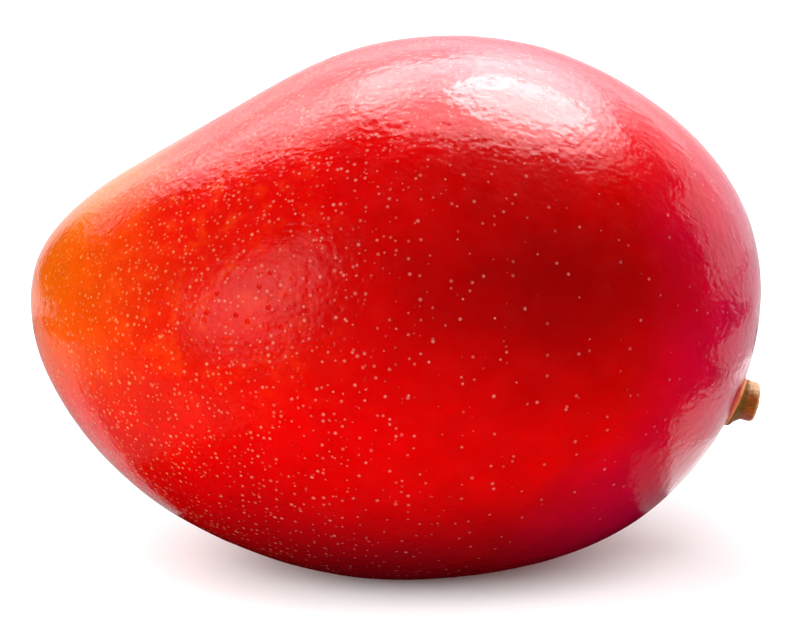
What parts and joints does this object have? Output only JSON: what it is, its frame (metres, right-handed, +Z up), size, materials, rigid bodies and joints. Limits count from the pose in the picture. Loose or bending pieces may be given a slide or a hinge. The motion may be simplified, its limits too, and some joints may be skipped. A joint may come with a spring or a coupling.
{
  "type": "mango",
  "caption": "Whole ripe red mango lying on its side on a small flat rest spot, with a curved beak end and a short woody stem stub.",
  "frame": {"origin": "in the plane of the flat rest spot, under the middle of the fruit's box", "axes": "+X along the fruit towards the stem end, +Y across the cheeks away from the side with the shallow flat, +Z up from the rest spot"},
  "size_m": [0.1198, 0.0858, 0.0885],
  "materials": {
    "mango_skin": "smooth waxy fruit skin, red with pale pores and an orange beak",
    "stem_wood": "dry rough bark with a cut end"
  },
  "bodies": {
    "root": {"fruit": "mango_skin", "stem_stub": "stem_wood"}
  },
  "joints": []
}
